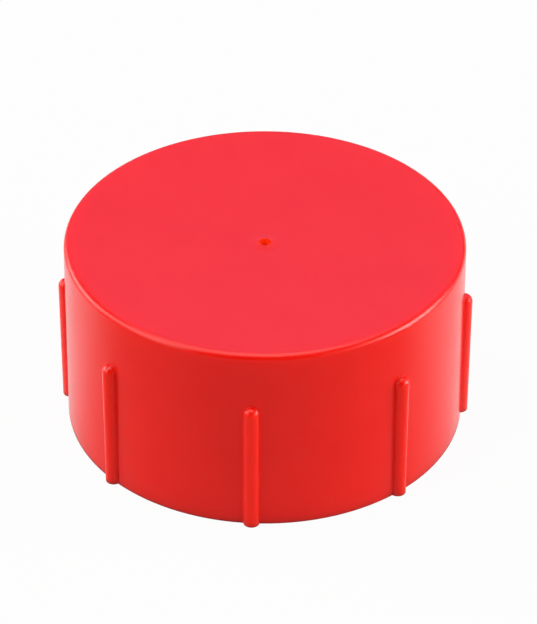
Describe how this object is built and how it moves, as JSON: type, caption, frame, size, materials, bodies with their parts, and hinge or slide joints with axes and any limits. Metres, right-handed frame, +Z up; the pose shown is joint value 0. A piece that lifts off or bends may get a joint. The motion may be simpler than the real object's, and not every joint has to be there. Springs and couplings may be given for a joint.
{
  "type": "threaded protection cap",
  "caption": "Moulded plastic screw cap with grip ribs round its skirt and an internal thread, put over the threaded end of a hydraulic fitting to keep dirt out and protect the thread.",
  "frame": {"origin": "centre of the open rim, in the plane that the cap stands on", "axes": "+Z up through the roof, along the thread's axis; -Y and the other multiples of 45 degrees point at grip ribs"},
  "size_m": [0.054, 0.054, 0.0261],
  "materials": {
    "moulded_plastic": "semi-gloss, as moulded"
  },
  "bodies": {
    "root": {"threaded_cap": "moulded_plastic"}
  },
  "joints": []
}
